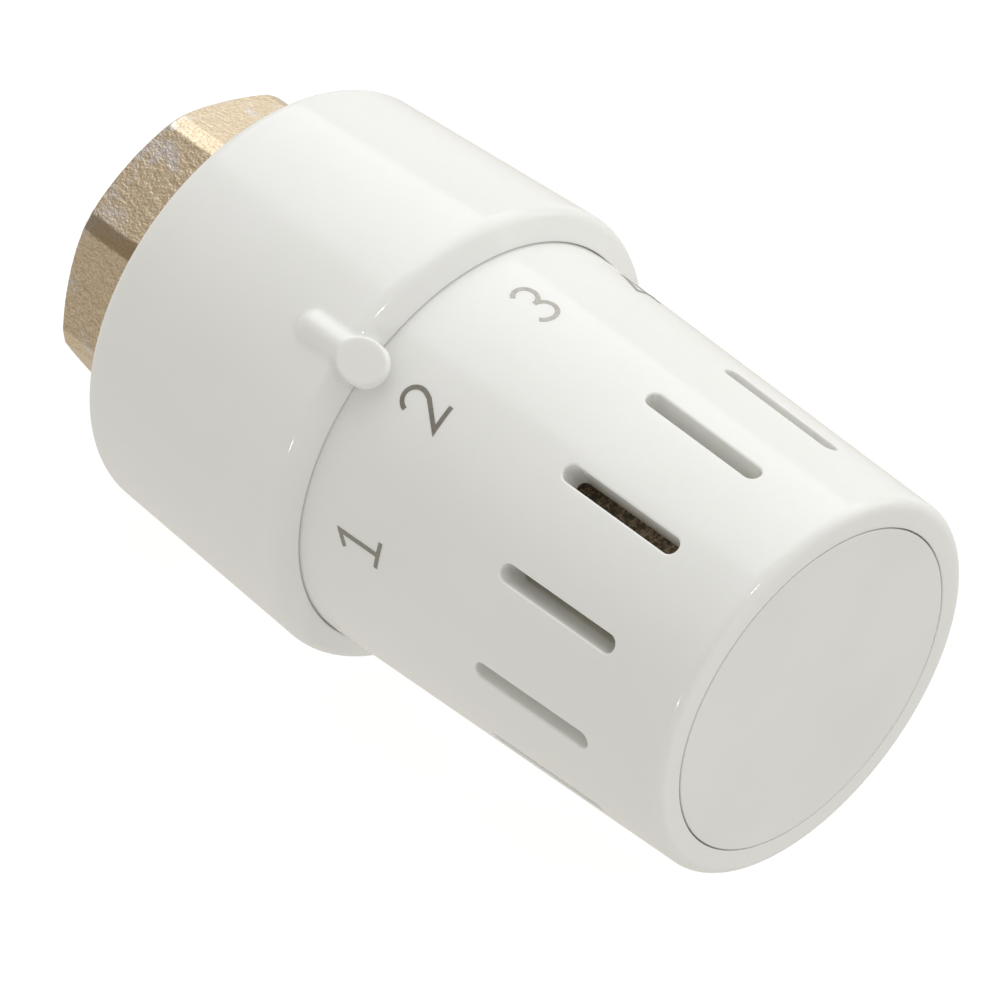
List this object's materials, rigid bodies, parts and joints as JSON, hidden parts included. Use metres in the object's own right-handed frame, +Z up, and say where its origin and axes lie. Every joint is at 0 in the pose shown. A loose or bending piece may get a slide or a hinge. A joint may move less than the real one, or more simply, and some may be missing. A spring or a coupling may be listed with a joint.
{
  "type": "thermostatic radiator valve head",
  "caption": "Round thermostatic radiator valve head with a vented turning dial, a collar with a pointer, a liquid sensor inside and an eight-sided union nut.",
  "frame": {"origin": "centre of the union nut's thread at its mouth, where the thread starts", "axes": "+X along the head's axis from the union nut to the end disc, +Z up with the head mounted level, +Y completes the right-handed frame; the scale pointer is 35.5 degrees from +Z towards -Y"},
  "size_m": [0.0858, 0.0492, 0.0492],
  "materials": {
    "white_plastic": "glossy warm white moulding",
    "cage_plastic": "white moulding",
    "inner_plastic": "natural white moulding",
    "disc_grey": "satin light grey",
    "brass": "hot-pressed and blasted",
    "sensor_metal": "tarnished",
    "spring_steel": "drawn wire",
    "seal_rubber": "matt black"
  },
  "bodies": {
    "base": {"collar": "white_plastic", "base_socket": "inner_plastic", "stop_ring": "inner_plastic", "friction_ring": "seal_rubber", "pin_guide": "inner_plastic", "guide_circlip": "spring_steel", "nut_retaining_ring": "spring_steel"},
    "nut": {"union_nut": "brass"},
    "carrier": {"sensor_carrier": "inner_plastic", "carrier_circlip": "spring_steel", "thrust_ring": "inner_plastic", "sensor_capsule": "sensor_metal", "capsule_cap": "sensor_metal", "filling_plug": "brass", "sensor_bellows": "brass"},
    "dial": {"dial_knob": "white_plastic", "dial_cage": "cage_plastic", "cage_snap_ring": "spring_steel", "end_disc": "disc_grey"},
    "plunger": {"sensor_piston": "spring_steel", "spring_cup": "inner_plastic", "spring_retainer": "spring_steel", "overtravel_spring": "spring_steel"},
    "pin": {"push_pin": "inner_plastic"}
  },
  "joints": [
    {"name": "nut_spin", "type": "hinge", "parent": "base", "child": "nut", "pos_m": [0.005, 0, 0], "axis": [1, 0, 0], "continuous": true},
    {"name": "sensor_travel", "type": "slide", "parent": "base", "child": "carrier", "axis": [1, 0, 0], "range_m": [-0.00225, 0.0027]},
    {"name": "dial_turn", "type": "hinge", "parent": "carrier", "child": "dial", "pos_m": [0.06, 0, 0], "axis": [1, 0, 0], "range_deg": [-100, 120]},
    {"name": "thermal_stroke", "type": "slide", "parent": "carrier", "child": "plunger", "axis": [-1, 0, 0], "range_m": [-0.001, 0.0015]},
    {"name": "overtravel", "type": "slide", "parent": "plunger", "child": "pin", "axis": [1, 0, 0], "range_m": [0, 0.002], "deforming": ["overtravel_spring"]}
  ],
  "couplings": [
    {"joint": "sensor_travel", "follows": "dial_turn", "m_per_rad": 0.0012732}
  ]
}
